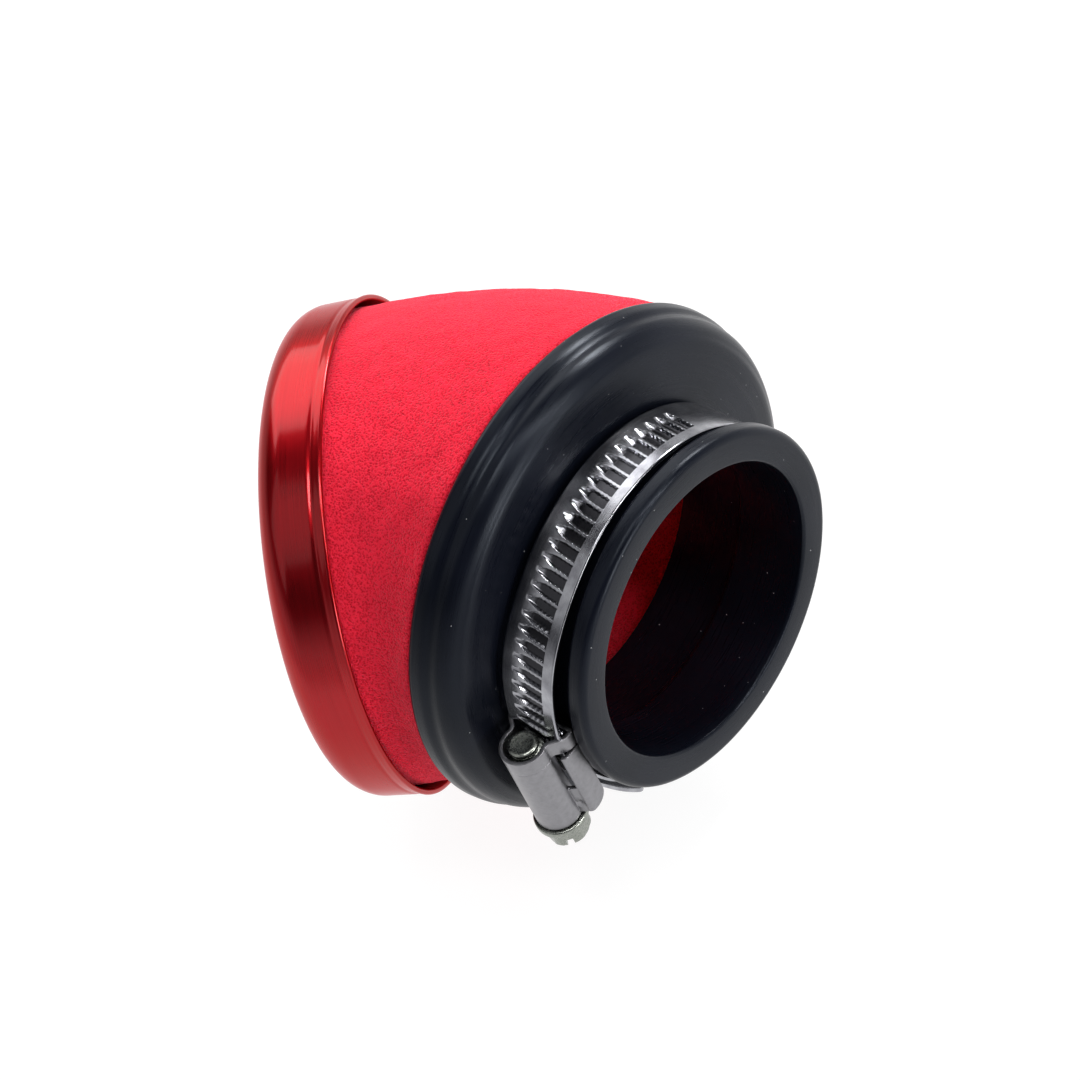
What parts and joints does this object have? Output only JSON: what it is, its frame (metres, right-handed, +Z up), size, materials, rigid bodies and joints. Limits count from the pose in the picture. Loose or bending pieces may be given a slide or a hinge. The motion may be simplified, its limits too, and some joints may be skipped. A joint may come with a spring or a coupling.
{
  "type": "motorcycle air filter",
  "caption": "Angled clamp-on foam air filter: metal end cap, bent foam tube, rubber neck and a loose worm-drive hose clamp.",
  "frame": {"origin": "centre of the neck's mouth, in the plane of its end face", "axes": "+X out of the mouth along the neck's axis, -Y towards the side that the elbow bends to, +Z up with the neck held level"},
  "size_m": [0.075, 0.082, 0.0756],
  "materials": {
    "red_aluminium": "satin red anodised",
    "red_foam": "open-cell polyurethane foam, matte",
    "black_rubber": "satin moulded",
    "adhesive": "cured polyurethane adhesive",
    "stainless_band": "polished stainless strip",
    "housing_steel": "satin pressed sheet",
    "zinc_screw": "zinc plated"
  },
  "bodies": {
    "filter": {"end_cap": "red_aluminium", "foam_element": "red_foam", "rubber_boot": "black_rubber", "cap_bond": "adhesive", "boot_bond": "adhesive"},
    "housing": {"clamp_housing": "housing_steel"},
    "band": {"clamp_band": "stainless_band"},
    "screw": {"worm_screw": "zinc_screw"}
  },
  "joints": [
    {"name": "clamp_turn", "type": "hinge", "parent": "filter", "child": "housing", "pos_m": [0, 0, 0], "axis": [1, 0, 0], "continuous": true},
    {"name": "screw_spin", "type": "hinge", "parent": "housing", "child": "screw", "pos_m": [-0.00873, -0.0312, 0], "axis": [0, 0, 1], "range_deg": [-360, 1080]},
    {"name": "band_feed", "type": "hinge", "parent": "housing", "child": "band", "pos_m": [-0.00873, -0.0009, 0], "axis": [1, 0, 0], "range_deg": [-4.5, 13.5]}
  ],
  "couplings": [
    {"joint": "band_feed", "follows": "screw_spin", "ratio": 0.012411}
  ]
}
